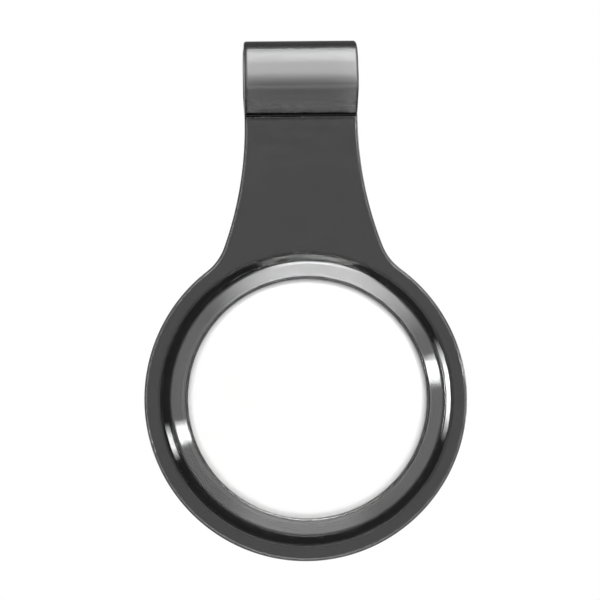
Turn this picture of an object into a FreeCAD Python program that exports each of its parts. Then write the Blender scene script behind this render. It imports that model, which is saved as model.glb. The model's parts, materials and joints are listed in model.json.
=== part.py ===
import FreeCAD, Part
import math
import os

import Sketcher
from FreeCAD import Vector

# Tracker tag holder: one soft translucent moulding with a hanging loop, a flaring neck and a round socket,
# and the coin-shaped tracker tag that snaps into the socket through its front ring.
#
# Frame: millimetres, +Z up. The origin is the centre of the loop's round tunnel, where the holder hangs.
# The tag's axis lies along Y and its white face looks towards -Y. Every body is drawn about the centre of
# the ring and then hung below the loop by its Placement.

SIZES = {
    # Coin cell and its contacts
    "cell_diameter": 20.0,
    "cell_thickness": 3.2,
    "cell_cap_inset": 1.2,
    "cell_cap_height": 0.3,
    "cell_edge_radius": 0.5,
    "contact_space": 1.1,
    "contact_thickness": 0.15,
    "contact_width": 1.8,
    "contact_foot": 1.6,
    "contact_height": 1.3,
    "contact_gap": 0.1,
    "contact_count": 3,
    # Battery cover, its skirt and its bayonet tabs
    "cover_thickness": 0.5,
    "cover_gap": 0.85,
    "cover_seat_gap": 0.05,
    "cover_clearance": 0.15,
    "skirt_wall": 0.5,
    "tab_reach": 0.65,
    "tab_thickness": 0.5,
    "tab_angle": 20.0,
    # Rear frame: rim, ledge, well and bayonet lugs
    "rim_crown": 1.1,
    "rim_land": 0.1,
    "ledge_width": 0.55,
    "floor_thickness": 0.5,
    "seam_setback": 0.5,
    "lug_thickness": 0.55,
    "lug_drop": 0.25,
    "lug_angle": 24.0,
    "lug_count": 3,
    # Face shell, circuit board and sounder
    "face_wall": 0.8,
    "sounder_space": 1.1,
    "board_thickness": 0.8,
    "board_edge_gap": 1.4,
    "board_hole_gap": 0.7,
    "magnet_diameter": 8.8,
    "magnet_gap": 0.4,
    "coil_gap": 0.3,
    "coil_wall": 0.6,
    "coil_height": 1.0,
    "coil_bond": 0.05,
    # Socket of the holder
    "tag_clearance": 0.12,
    "socket_wall": 1.15,
    "socket_offset": 0.8,
    "lip_grip": 1.3,
    "foot_radius": 0.2,
    # Raised front ring, from the notch at its foot over its bead and shoulder to its lip
    "notch_width": 0.22,
    "notch_depth": 0.35,
    "ring_foot_wall": 1.98,
    "ring_wall_height": 1.2,
    "ring_wall_draft": 0.25,
    "bead_width": 0.63,
    "bead_height": 0.73,
    "bead_radius": 0.3,
    "bead_crease_radius": 0.08,
    "shoulder_wall": 0.9,
    "shoulder_drop": 0.85,
    "shoulder_radius": 1.2,
    "lip_height": 1.1,
    "lip_radius": 0.3,
    "lip_inner_radius": 0.15,
    # Flange and neck
    "flange_reach": 2.78,
    "flange_thickness": 2.4,
    "neck_width": 14.1,
    "neck_length": 20.65,
    "neck_straight": 1.1,
    "neck_flare": 3.6,
    "neck_root_radius": 6.6,
    # Hanging loop
    "loop_bore_radius": 3.1,
    "loop_wall": 1.0,
    "loop_taper": 1.85,
    "loop_floor_radius": 0.25,
    "belly_swell": 0.38,
    "belly_drop": 2.1,
    "belly_radius": 2.0,
    "crease_wall": 0.35,
    "crease_radius": 0.25,
    "groove_depth": 0.45,
    "groove_rise": 0.2,
    "groove_fall": 0.28,
    "mouth_radius": 0.25,
    "edge_radius": 0.4,
}

# Radii of the tag, from its cell outwards
CELL_RADIUS = "Sizes.cell_diameter / 2"
SKIRT_INNER = f"({CELL_RADIUS} + Sizes.contact_space)"
SKIRT_OUTER = f"({SKIRT_INNER} + Sizes.skirt_wall)"
TAB_RADIUS = f"({SKIRT_OUTER} + Sizes.tab_reach)"
WELL_RADIUS = f"({TAB_RADIUS} + Sizes.cover_clearance)"
POCKET_RADIUS = f"({WELL_RADIUS} + Sizes.ledge_width)"
COVER_RADIUS = f"({POCKET_RADIUS} - Sizes.cover_clearance)"
RIM_CENTRE = f"({POCKET_RADIUS} + Sizes.rim_land)"
MAGNET_RADIUS = "(Sizes.magnet_diameter / 2)"
COIL_INNER = f"({MAGNET_RADIUS} + Sizes.coil_gap)"
COIL_OUTER = f"({COIL_INNER} + Sizes.coil_wall)"

# The tag is as thick as the stack inside it, and its round rim is what the two crowns leave
FRONT_STACK = "(Sizes.face_wall + Sizes.sounder_space + Sizes.board_thickness + Sizes.floor_thickness)"
BACK_STACK = (
    "(Sizes.contact_thickness + Sizes.contact_gap + Sizes.cell_thickness"
    " + Sizes.cover_gap + Sizes.cover_thickness)"
)
HALF_TAG = f"(({FRONT_STACK} + {BACK_STACK}) / 2)"
RIM_RADIUS = f"({HALF_TAG} - Sizes.rim_crown)"

# Levels of the tag along Y, from its middle plane: minus is towards the face
FACE_APEX = f"-{HALF_TAG}"
COVER_APEX = HALF_TAG
FLOOR_BACK = f"({FRONT_STACK} - {HALF_TAG})"
FLOOR_FRONT = f"({FLOOR_BACK} - Sizes.floor_thickness)"
BOARD_FRONT = f"({FLOOR_FRONT} - Sizes.board_thickness)"
CELL_FRONT = f"({FLOOR_BACK} + Sizes.contact_thickness + Sizes.contact_gap)"
CELL_BACK = f"({CELL_FRONT} + Sizes.cell_thickness)"
LEDGE = f"({RIM_RADIUS} - Sizes.cover_thickness - Sizes.cover_seat_gap)"
LUG_BACK = f"({LEDGE} - Sizes.lug_drop)"
LUG_FRONT = f"({LUG_BACK} - Sizes.lug_thickness)"
TAB_BACK = f"({LUG_FRONT} - Sizes.cover_clearance)"
TAB_FRONT = f"({TAB_BACK} - Sizes.tab_thickness)"

# The face's crown is a ball tangent to the rim
CROWN_RADIUS = f"(({RIM_CENTRE} ^ 2 + {HALF_TAG} ^ 2 - {RIM_RADIUS} ^ 2) / (2 * Sizes.rim_crown))"

# The socket follows the tag's round rim at a small clearance, and the flange and neck follow the socket
TAG_RADIUS = f"({RIM_CENTRE} + {RIM_RADIUS})"
CAVITY_ARC = f"({RIM_RADIUS} + Sizes.tag_clearance)"
SOCKET_ARC = f"({CAVITY_ARC} + Sizes.socket_wall)"
LIP_RADIUS = f"({TAG_RADIUS} - Sizes.lip_grip)"
LIP_CENTRE = f"({LIP_RADIUS} + Sizes.socket_wall / 2)"
LIP_SEAT = f"(Sizes.socket_offset + sqrt({CAVITY_ARC} ^ 2 - ({LIP_RADIUS} - {RIM_CENTRE}) ^ 2))"
LIP_FACE = f"-({LIP_SEAT} + Sizes.lip_height)"
SHOULDER_LEVEL = f"({LIP_FACE} + Sizes.shoulder_drop)"
SHOULDER_RADIUS = f"({RIM_CENTRE} + {CAVITY_ARC} + Sizes.shoulder_wall)"
FOOT_RADIUS = f"({RIM_CENTRE} + {CAVITY_ARC} + Sizes.ring_foot_wall)"
BEAD_RADIUS = f"({FOOT_RADIUS} - Sizes.ring_wall_draft)"
BEAD_CREASE_RADIUS = f"({BEAD_RADIUS} - Sizes.bead_width)"
FLANGE_RADIUS = f"({RIM_CENTRE} + {SOCKET_ARC} + Sizes.flange_reach)"
FLANGE_FRONT = "-Sizes.flange_thickness / 2"
FLANGE_BACK = "Sizes.flange_thickness / 2"
BEAD_LEVEL = f"({FLANGE_FRONT} - Sizes.ring_wall_height)"
BEAD_CREASE_LEVEL = f"({BEAD_LEVEL} - Sizes.bead_height)"
ROOT_RADIUS = f"({FLANGE_RADIUS} - Sizes.flange_reach / 2)"
LOOP_RISE = f"({FLANGE_RADIUS} + Sizes.neck_length)"
LOOP_DEPTH = "(Sizes.loop_bore_radius + Sizes.loop_taper)"
FLARE_TOP = f"({LOOP_RISE} - {LOOP_DEPTH} - Sizes.neck_straight)"
LOOP_RADIUS = "(Sizes.loop_bore_radius + Sizes.loop_wall)"
BELLY_DEPTH = f"({LOOP_RADIUS} + Sizes.belly_swell)"
BELLY_LEVEL = f"({LOOP_RISE} - Sizes.belly_drop)"
CREASE_LEVEL = f"({LOOP_RISE} - {LOOP_DEPTH} - Sizes.crease_wall)"
NECK_SIDE = "Sizes.neck_width / 2"
NECK_CORNER = f"({NECK_SIDE} + Sizes.neck_flare)"

WHOLE_TURN = 360.0
HALF_TURN = 180.0
NEARLY_ONE_SHARE = 0.999
TOUCH_SHARE = 0.001

doc = FreeCAD.newDocument("tag_holder")


def make_sheet():
    """Write the driving sizes into the document's spreadsheet, one alias each."""
    made = doc.addObject("Spreadsheet::Sheet", "Sizes")
    for row, (name, value) in enumerate(SIZES.items(), start=1):
        made.set(f"A{row}", name)
        made.set(f"B{row}", str(value))
        made.setAlias(f"B{row}", name)
    doc.recompute()
    return made


sheet = make_sheet()


def measure(expression):
    """The value that an expression of the sheet's sizes has now."""
    return float(sheet.evalExpression(expression))


def new_body(name, along_y="0"):
    """A body drawn about the ring's centre, hung below the loop and moved along Y."""
    body = doc.addObject("PartDesign::Body", name)
    body.Label = name
    body.setExpression("Placement.Base.y", along_y)
    body.setExpression("Placement.Base.z", f"-{LOOP_RISE}")
    return body


def origin_feature(body, role):
    """An origin plane or axis of a body."""
    return next(item for item in body.Origin.OriginFeatures if item.Role == role)


class Profile:
    """A sketch on an origin plane of its body, drawn as a closed chain of lines and arcs."""

    ORIGIN = (-1, 1)
    ACROSS_AXIS = -1
    # The sketcher counts the points of a piece from one
    START, END, CENTRE = range(1, 4)

    def __init__(self, body, name, plane):
        self.sketch = body.newObject("Sketcher::SketchObject", name)
        self.sketch.AttachmentSupport = [(origin_feature(body, plane), "")]
        self.sketch.MapMode = "FlatFace"

    def rule(self, *words):
        """Add a geometric constraint."""
        return self.sketch.addConstraint(Sketcher.Constraint(*words))

    def sized(self, expression, *words):
        """Add a dimension bound to the sheet."""
        index = self.rule(*words, measure(expression))
        self.sketch.setExpression(f"Constraints[{index}]", expression)

    def line(self, start, end):
        """A line as (geometry, first point, last point)."""
        drawn = self.sketch.addGeometry(Part.LineSegment(Vector(*start, 0), Vector(*end, 0)))
        return drawn, self.START, self.END

    def arc(self, centre, radius, begin, finish):
        """An arc that runs from one angle to another, either way round."""
        circle = Part.Circle(Vector(*centre, 0), Vector(0, 0, 1), radius)
        low, high = sorted((begin, finish))
        drawn = self.sketch.addGeometry(Part.ArcOfCircle(circle, math.radians(low), math.radians(high)))
        if begin < finish:
            return drawn, self.START, self.END
        return drawn, self.END, self.START

    def point(self, place):
        """A lone construction point."""
        return self.sketch.addGeometry(Part.Point(Vector(*place, 0)), True)

    def close(self, chain, smooth=()):
        """Join the chain end to end; smooth lists the pieces whose end runs on tangentially."""
        for order, (piece, _, last) in enumerate(chain):
            follower, first, _ = chain[(order + 1) % len(chain)]
            kind = "Tangent" if order in smooth else "Coincident"
            self.rule(kind, piece, last, follower, first)

    def across(self, expression, piece, point):
        """Bind a point's distance along the sketch's first axis."""
        self.sized(expression, "DistanceX", *self.ORIGIN, piece, point)

    def up(self, expression, piece, point):
        """Bind a point's distance along the sketch's second axis."""
        self.sized(expression, "DistanceY", *self.ORIGIN, piece, point)

    def on_axis(self, piece, point):
        """Keep a point on the sketch's first axis."""
        self.rule("PointOnObject", piece, point, self.ACROSS_AXIS)

    def above_origin(self, piece, point):
        """Keep a point on the sketch's second axis."""
        self.rule("Vertical", *self.ORIGIN, piece, point)

    def soft_chain(self, begin, corners, finish):
        """Lines from begin over the corners to finish, with each corner bound and rounded by its radius.

        corners holds (across, up, radius).
        """
        bends = [(measure(across), measure(up)) for across, up, _ in corners]
        places = [begin, *bends, finish]
        lines, arcs = [], []
        for order, (_, _, radius) in enumerate(corners):
            first, middle, last = rounding(*places[order:order + 3], measure(radius))
            turns = short_way(angle_to(middle, first), angle_to(middle, last))
            lines.append(self.line(begin, first))
            arcs.append(self.arc(middle, measure(radius), *turns))
            self.sized(radius, "Radius", arcs[-1][0])
            begin = last
        lines.append(self.line(begin, finish))
        for order, (across, up, _) in enumerate(corners):
            aim = self.point(bends[order])
            self.across(across, aim, self.START)
            self.up(up, aim, self.START)
            for line, _, _ in lines[order:order + 2]:
                self.rule("PointOnObject", aim, self.START, line)
        return [lines[0], *(piece for pair in zip(arcs, lines[1:]) for piece in pair)]

    def polygon(self, corners):
        """A closed polygon whose every corner is bound; an up of None lies on the axis."""
        places = [(measure(across), measure(up) if up else 0) for across, up in corners]
        chain = [self.line(place, places[(order + 1) % len(places)]) for order, place in enumerate(places)]
        self.close(chain)
        for (piece, first, _), (across, up) in zip(chain, corners):
            self.across(across, piece, first)
            if up:
                self.up(up, piece, first)
            else:
                self.on_axis(piece, first)


def revolve(body, name, profile, angle=None):
    """Turn a profile about the body's Y axis, a whole turn or an angle centred on the profile."""
    turned = body.newObject("PartDesign::Revolution", name)
    turned.Profile = profile.sketch
    turned.ReferenceAxis = (profile.sketch, ["H_Axis"])
    if angle is None:
        turned.Angle = WHOLE_TURN
    else:
        turned.Midplane = True
        turned.setExpression("Angle", angle)
    doc.recompute()
    return turned


def repeat_round(body, name, feature, count):
    """Repeat a feature evenly round the body's Y axis."""
    pattern = body.newObject("PartDesign::PolarPattern", name)
    pattern.Originals = [feature]
    pattern.Axis = (origin_feature(body, "Y_Axis"), [""])
    pattern.Angle = WHOLE_TURN
    pattern.setExpression("Occurrences", count)
    body.Tip = pattern
    doc.recompute()
    return pattern


def round_edges(body, name, base, edges, radius):
    """Round the named edges of the body's last feature."""
    rounded = body.newObject("PartDesign::Fillet", name)
    rounded.Base = (base, edges)
    rounded.setExpression("Radius", radius)
    doc.recompute()
    return rounded


def angle_to(centre, place):
    """The direction of a place seen from a centre, in degrees."""
    return math.degrees(math.atan2(place[1] - centre[1], place[0] - centre[0]))


def short_way(begin, finish):
    """The two angles, with the second brought within half a turn of the first."""
    return begin, begin + math.remainder(finish - begin, WHOLE_TURN)


def rounding(before, corner, after, radius):
    """Where an arc that rounds a corner begins, has its centre and ends."""
    place = Vector(*corner, 0)
    back = (Vector(*before, 0) - place).normalize()
    ahead = (Vector(*after, 0) - place).normalize()
    half_angle = back.getAngle(ahead) / 2
    first = place + back * (radius / math.tan(half_angle))
    last = place + ahead * (radius / math.tan(half_angle))
    middle = place + (back + ahead).normalize() * (radius / math.sin(half_angle))
    return [(point.x, point.y) for point in (first, middle, last)]


def cavity_arc(profile, begin):
    """The arc of the socket that follows the tag's rim, from an angle to the flange's front face."""
    middle, radius = (-measure("Sizes.socket_offset"), measure(RIM_CENTRE)), measure(CAVITY_ARC)
    face_along = measure(FLANGE_FRONT)
    face_up = middle[1] + math.sqrt(radius ** 2 - (face_along - middle[0]) ** 2)
    drawn = profile.arc(middle, radius, begin, angle_to(middle, (face_along, face_up)))
    profile.sized(CAVITY_ARC, "Radius", drawn[0])
    profile.across("-Sizes.socket_offset", drawn[0], profile.CENTRE)
    profile.up(RIM_CENTRE, drawn[0], profile.CENTRE)
    return drawn, (face_along, face_up)


def rear_lip(profile):
    """The socket's rear from its foot on the flange, round the lip, to the front face's plane.

    The wall follows the tag's rim at an even thickness and ends in a full round lip. Returns the foot, outer,
    lip and inner arcs with the two ends of the section.
    """
    middle = (-measure("Sizes.socket_offset"), measure(RIM_CENTRE))
    outer_radius, inner_radius = measure(SOCKET_ARC), measure(CAVITY_ARC)
    lip_radius, foot_radius = measure("Sizes.socket_wall") / 2, measure("Sizes.foot_radius")
    lip_up = measure(LIP_CENTRE) - middle[1]
    lip = (middle[0] + math.sqrt((inner_radius + lip_radius) ** 2 - lip_up ** 2), middle[1] + lip_up)
    foot_along = measure(FLANGE_BACK) + foot_radius
    foot_up = math.sqrt((outer_radius + foot_radius) ** 2 - (foot_along - middle[0]) ** 2)
    foot = (foot_along, middle[1] + foot_up)

    lip_turn = angle_to(middle, lip)
    foot_arc = profile.arc(foot, foot_radius, HALF_TURN, angle_to(foot, middle) + WHOLE_TURN)
    outer_arc = profile.arc(middle, outer_radius, angle_to(middle, foot), lip_turn)
    lip_arc = profile.arc(lip, lip_radius, lip_turn, lip_turn - HALF_TURN)
    inner_arc, face_end = cavity_arc(profile, lip_turn)

    profile.sized("Sizes.foot_radius", "Radius", foot_arc[0])
    profile.sized(SOCKET_ARC, "Radius", outer_arc[0])
    profile.rule("Coincident", outer_arc[0], profile.CENTRE, inner_arc[0], profile.CENTRE)
    profile.up(LIP_CENTRE, lip_arc[0], profile.CENTRE)
    return [foot_arc, outer_arc, lip_arc, inner_arc], foot[1], face_end


def draw_ring(body):
    """Flange, rear lip and socket wall as one section about the ring's axis."""
    profile = Profile(body, "ring_section", "YZ_Plane")
    arcs, foot_up, face_end = rear_lip(profile)
    front, back, rim = measure(FLANGE_FRONT), measure(FLANGE_BACK), measure(FLANGE_RADIUS)
    rim_line = profile.line((front, rim), (back, rim))
    back_line = profile.line((back, rim), (back, foot_up))
    face_line = profile.line(face_end, (front, rim))
    chain = [rim_line, back_line, *arcs, face_line]
    profile.close(chain, smooth=(1, 2, 3, 4))
    profile.rule("Horizontal", rim_line[0])
    profile.rule("Vertical", back_line[0])
    profile.rule("Vertical", face_line[0])
    profile.across(FLANGE_FRONT, rim_line[0], profile.START)
    profile.across(FLANGE_BACK, rim_line[0], profile.END)
    profile.up(FLANGE_RADIUS, rim_line[0], profile.START)
    return revolve(body, "ring", profile)


def neck_side(profile, side):
    """One side of the neck: root line, fillet, flare and straight edge, going up.

    side is 1 for +X and -1 for -X. The flare leaves the straight edge tangentially and aims at the root
    corner on the flange's rim, and the fillet rounds that corner.
    """
    rim, fillet = measure(FLANGE_RADIUS), measure("Sizes.neck_root_radius")
    half_width, corner_across = measure(NECK_SIDE), measure(NECK_CORNER)
    top, flare_top, root = measure(LOOP_RISE), measure(FLARE_TOP), measure(ROOT_RADIUS)
    corner = (corner_across, math.sqrt(rim ** 2 - corner_across ** 2))
    spread, drop = corner[0] - half_width, flare_top - corner[1]
    flare = (spread ** 2 + drop ** 2) / (2 * spread)
    flare_centre = (half_width + flare, flare_top)

    reach, away = rim + fillet, flare - fillet
    span = math.hypot(*flare_centre)
    opening = math.acos((reach ** 2 + span ** 2 - away ** 2) / (2 * reach * span))
    bearing = math.atan2(flare_centre[1], flare_centre[0]) + opening
    fillet_centre = (reach * math.cos(bearing), reach * math.sin(bearing))
    meeting = angle_to(flare_centre, fillet_centre) + WHOLE_TURN

    def mirrored(place):
        return side * place[0], place[1]

    def turned(angle):
        return angle if side > 0 else HALF_TURN - angle

    inner_end = (root * math.cos(bearing), root * math.sin(bearing))
    outer_end = (rim * math.cos(bearing), rim * math.sin(bearing))
    root_line = profile.line(mirrored(inner_end), mirrored(outer_end))
    facing = turned(math.degrees(bearing) + HALF_TURN)
    fillet_arc = profile.arc(mirrored(fillet_centre), fillet, facing, turned(meeting))
    flare_arc = profile.arc(mirrored(flare_centre), flare, turned(meeting), turned(HALF_TURN))
    edge_line = profile.line(mirrored((half_width, flare_top)), mirrored((half_width, top)))
    aim = profile.point(mirrored(corner))

    sign = "" if side > 0 else "-"
    profile.rule("PointOnObject", *profile.ORIGIN, root_line[0])
    profile.rule("PointOnObject", fillet_arc[0], profile.CENTRE, root_line[0])
    profile.sized("Sizes.neck_root_radius", "Radius", fillet_arc[0])
    profile.sized(f"{FLANGE_RADIUS} + Sizes.neck_root_radius", "Distance", *profile.ORIGIN,
                  fillet_arc[0], profile.CENTRE)
    profile.up(FLARE_TOP, flare_arc[0], profile.CENTRE)
    profile.rule("PointOnObject", aim, profile.START, flare_arc[0])
    profile.across(f"{sign}{NECK_CORNER}", aim, profile.START)
    profile.sized(FLANGE_RADIUS, "Distance", *profile.ORIGIN, aim, profile.START)
    profile.rule("Vertical", edge_line[0])
    profile.across(f"{sign}{NECK_SIDE}", edge_line[0], profile.START)
    return [root_line, fillet_arc, flare_arc, edge_line], math.degrees(bearing)


def backwards(piece):
    """The same line or arc, run the other way."""
    drawn, first, last = piece
    return drawn, last, first


def pad_both_ways(body, name, profile, length):
    """Pad a profile evenly to both sides of its plane."""
    pad = body.newObject("PartDesign::Pad", name)
    pad.Profile = profile.sketch
    pad.SideType = "Symmetric"
    pad.setExpression("Length", length)
    doc.recompute()
    return pad


def draw_neck(body):
    """The flat neck, from inside the flange up to the middle of the loop."""
    profile = Profile(body, "neck_outline", "XZ_Plane")
    right, bearing = neck_side(profile, 1)
    left, _ = neck_side(profile, -1)
    half_width, top, root = measure(NECK_SIDE), measure(LOOP_RISE), measure(ROOT_RADIUS)
    top_line = profile.line((half_width, top), (-half_width, top))
    root_arc = profile.arc((0, 0), root, HALF_TURN - bearing, bearing)
    chain = [*right, top_line, *(backwards(piece) for piece in reversed(left)), root_arc]
    profile.close(chain, smooth=(1, 2, 5, 6))
    profile.rule("Horizontal", top_line[0])
    profile.up(LOOP_RISE, top_line[0], profile.START)
    profile.rule("Coincident", root_arc[0], profile.CENTRE, *profile.ORIGIN)
    profile.sized(ROOT_RADIUS, "Radius", root_arc[0])
    return pad_both_ways(body, "neck", profile, "Sizes.flange_thickness")


def loop_outline(body):
    """The loop seen along its tunnel: a round top, walls that swell to a belly, and a taper to the neck."""
    profile = Profile(body, "loop_outline", "YZ_Plane")
    top, radius = (0, measure(LOOP_RISE)), measure(LOOP_RADIUS)
    belly = (measure(BELLY_DEPTH), measure(BELLY_LEVEL))
    crease = (measure(FLANGE_BACK), measure(CREASE_LEVEL))
    opening = math.degrees(math.acos(radius / math.dist(top, belly)))
    turn = angle_to(top, belly) + opening
    leave = (radius * math.cos(math.radians(turn)), top[1] + radius * math.sin(math.radians(turn)))
    top_arc = profile.arc(top, radius, turn, HALF_TURN - turn)

    def drawn_side(side, crease_across, belly_across):
        bend = (belly_across, BELLY_LEVEL, "Sizes.belly_radius")
        pieces = profile.soft_chain((side * crease[0], crease[1]), [bend], (side * leave[0], leave[1]))
        profile.across(crease_across, pieces[0][0], profile.START)
        profile.up(CREASE_LEVEL, pieces[0][0], profile.START)
        return pieces

    right = drawn_side(1, FLANGE_BACK, BELLY_DEPTH)
    left = drawn_side(-1, FLANGE_FRONT, f"-{BELLY_DEPTH}")
    floor_line = profile.line((-crease[0], crease[1]), crease)
    chain = [top_arc, *(backwards(piece) for piece in reversed(left)), floor_line, *right]
    profile.close(chain, smooth=(0, 1, 2, 5, 6, 7))
    profile.sized(LOOP_RADIUS, "Radius", top_arc[0])
    profile.above_origin(top_arc[0], profile.CENTRE)
    profile.up(LOOP_RISE, top_arc[0], profile.CENTRE)
    return profile


def tunnel_outline(body):
    """The tunnel's teardrop: a round top, straight sides and a small round floor."""
    profile = Profile(body, "tunnel_section", "YZ_Plane")
    floor_level = f"({LOOP_RISE} - {LOOP_DEPTH} + Sizes.loop_floor_radius)"
    ends = (("Sizes.loop_bore_radius", LOOP_RISE), ("Sizes.loop_floor_radius", floor_level))
    (bore, top), (floor, low) = [(measure(radius), measure(height)) for radius, height in ends]
    lean = math.asin((bore - floor) / (top - low))
    along, down = math.cos(lean), math.sin(lean)
    right = [(radius * along, height - radius * down) for radius, height in ((floor, low), (bore, top))]
    left = [(-across, up) for across, up in reversed(right)]
    turn = math.degrees(lean)
    top_arc = profile.arc((0, top), bore, -turn, HALF_TURN + turn)
    floor_arc = profile.arc((0, low), floor, HALF_TURN + turn, WHOLE_TURN - turn)
    profile.close([top_arc, profile.line(*left), floor_arc, profile.line(*right)], smooth=(0, 1, 2, 3))
    for arc, (radius, height) in zip((top_arc, floor_arc), ends):
        profile.sized(radius, "Radius", arc[0])
        profile.above_origin(arc[0], profile.CENTRE)
        profile.up(height, arc[0], profile.CENTRE)
    return profile


def groove_outline(body):
    """The sharp grooves along the two creases where the loop springs from the neck.

    Each flank is drawn twice as long as it is, so that the cut comes clear of the plastic.
    """
    profile = Profile(body, "groove_section", "YZ_Plane")
    floor = f"({FLANGE_BACK} - Sizes.groove_depth)"
    below = f"({FLANGE_BACK} + Sizes.groove_depth)"
    above = f"({below} + 2 * Sizes.groove_rise)"
    corners = [
        (floor, CREASE_LEVEL),
        (below, f"{CREASE_LEVEL} - 2 * Sizes.groove_fall"),
        (above, f"{CREASE_LEVEL} + 2 * Sizes.groove_rise"),
    ]
    for sign in ("", "-"):
        profile.polygon([(f"{sign}{across}", up) for across, up in corners])
    return profile


def cut_notch(body):
    """The narrow notch in the flange round the foot of the raised ring, in line with the ring's wall."""
    profile = Profile(body, "notch_section", "YZ_Plane")
    lean = "(Sizes.ring_wall_draft * Sizes.notch_depth / Sizes.ring_wall_height)"
    clear = f"{FLANGE_FRONT} - Sizes.notch_depth"
    profile.polygon([
        (f"{FLANGE_FRONT} + Sizes.notch_depth", f"{FOOT_RADIUS} + {lean}"),
        (clear, f"{FOOT_RADIUS} + 2 * Sizes.notch_width - {lean}"),
        (clear, f"{FOOT_RADIUS} - {lean}"),
    ])
    notch = body.newObject("PartDesign::Groove", "notch")
    notch.Profile = profile.sketch
    notch.ReferenceAxis = (profile.sketch, ["H_Axis"])
    notch.Angle = WHOLE_TURN
    doc.recompute()
    return notch


def cut_across(body, name, profile):
    """Cut a profile through the whole width of the neck."""
    pocket = body.newObject("PartDesign::Pocket", name)
    pocket.Profile = profile.sketch
    pocket.SideType = "Symmetric"
    pocket.setExpression("Length", "Sizes.neck_width + Sizes.loop_wall")
    doc.recompute()
    return pocket


def is_side_wall(face):
    """Whether a face of the holder is part of its outline seen from the front."""
    surface = face.Surface
    if isinstance(surface, Part.Plane):
        return abs(surface.Axis.x) > NEARLY_ONE_SHARE
    return isinstance(surface, Part.Cylinder) and abs(surface.Axis.y) > NEARLY_ONE_SHARE


def side_edges(shape, in_tunnel):
    """Names of the edges where the outline's walls meet the tunnel, or meet the other faces."""
    near = measure("Sizes.loop_wall / 2")
    names = []
    for order, edge in enumerate(shape.Edges, start=1):
        walls = [is_side_wall(face) for face in shape.ancestorsOfType(edge, Part.Face)]
        if len(walls) != 2 or walls[0] == walls[1]:
            continue
        middle = edge.valueAt((edge.FirstParameter + edge.LastParameter) / 2)
        if (distance_to_tunnel(middle) < near) == in_tunnel:
            names.append(f"Edge{order}")
    return names


def distance_to_tunnel(place):
    """How far a place is from the tunnel's wall, seen along X."""
    outline = doc.getObject("tunnel_section").Shape
    return outline.distToShape(Part.Vertex(Vector(0, place.y, place.z)))[0]


def crease_edges(shape):
    """Names of the straight edges where the loop's walls spring from the neck's two faces."""
    half_depth = measure(FLANGE_BACK)
    names = []
    for order, edge in enumerate(shape.Edges, start=1):
        if not isinstance(edge.Curve, Part.Line) or abs(edge.Curve.Direction.x) < NEARLY_ONE_SHARE:
            continue
        middle = edge.valueAt((edge.FirstParameter + edge.LastParameter) / 2)
        on_face = abs(abs(middle.y) - half_depth) < half_depth * TOUCH_SHARE
        if on_face and middle.z > measure(FLARE_TOP):
            names.append(f"Edge{order}")
    return names


def make_holder_body():
    """The moulding without its front ring."""
    body = new_body("holder_body")
    draw_ring(body)
    draw_neck(body)
    pad_both_ways(body, "loop", loop_outline(body), "Sizes.neck_width")
    tunnel = cut_across(body, "tunnel", tunnel_outline(body))
    crease = round_edges(body, "crease", tunnel, crease_edges(tunnel.Shape), "Sizes.crease_radius")
    outline = round_edges(body, "soft_outline", crease, side_edges(crease.Shape, False), "Sizes.edge_radius")
    round_edges(body, "soft_mouth", outline, side_edges(outline.Shape, True), "Sizes.mouth_radius")
    cut_across(body, "groove", groove_outline(body))
    cut_notch(body)
    return body


def lip_edges(shape):
    """Names of the round edges where the front lip's inner wall meets the socket."""
    radius, seat = measure(LIP_RADIUS), measure(LIP_SEAT)
    names = []
    for order, edge in enumerate(shape.Edges, start=1):
        if not isinstance(edge.Curve, Part.Circle):
            continue
        off = abs(edge.Curve.Radius - radius) + abs(edge.Curve.Center.y + seat)
        if off < radius * TOUCH_SHARE:
            names.append(f"Edge{order}")
    return names


def make_front_ring():
    """The raised ring on the flange's front face: a steep wall, a bead, a shoulder and a lip over the tag."""
    body = new_body("front_ring")
    profile = Profile(body, "front_ring_section", "YZ_Plane")
    middle = (-measure("Sizes.socket_offset"), measure(RIM_CENTRE))
    seat, foot = (-measure(LIP_SEAT), measure(LIP_RADIUS)), (measure(FLANGE_FRONT), measure(FOOT_RADIUS))
    inner_arc, face_end = cavity_arc(profile, angle_to(middle, seat))
    base_line = profile.line(face_end, foot)
    chain = profile.soft_chain(foot, [
        (BEAD_LEVEL, BEAD_RADIUS, "Sizes.bead_radius"),
        (BEAD_CREASE_LEVEL, BEAD_CREASE_RADIUS, "Sizes.bead_crease_radius"),
        (SHOULDER_LEVEL, SHOULDER_RADIUS, "Sizes.shoulder_radius"),
        (LIP_FACE, LIP_RADIUS, "Sizes.lip_radius"),
    ], seat)
    profile.close([base_line, *chain, inner_arc], smooth=range(1, len(chain)))
    profile.rule("Vertical", base_line[0])
    profile.across(FLANGE_FRONT, chain[0][0], profile.START)
    profile.up(FOOT_RADIUS, chain[0][0], profile.START)
    profile.rule("Horizontal", chain[-1][0])
    ring = revolve(body, "raised_ring", profile)
    round_edges(body, "soft_lip", ring, lip_edges(ring.Shape), "Sizes.lip_inner_radius")
    return body


def tag_body(name):
    """A body of the tag, whose middle plane stands in front of the flange's."""
    return new_body(name, "-Sizes.socket_offset")


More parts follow.
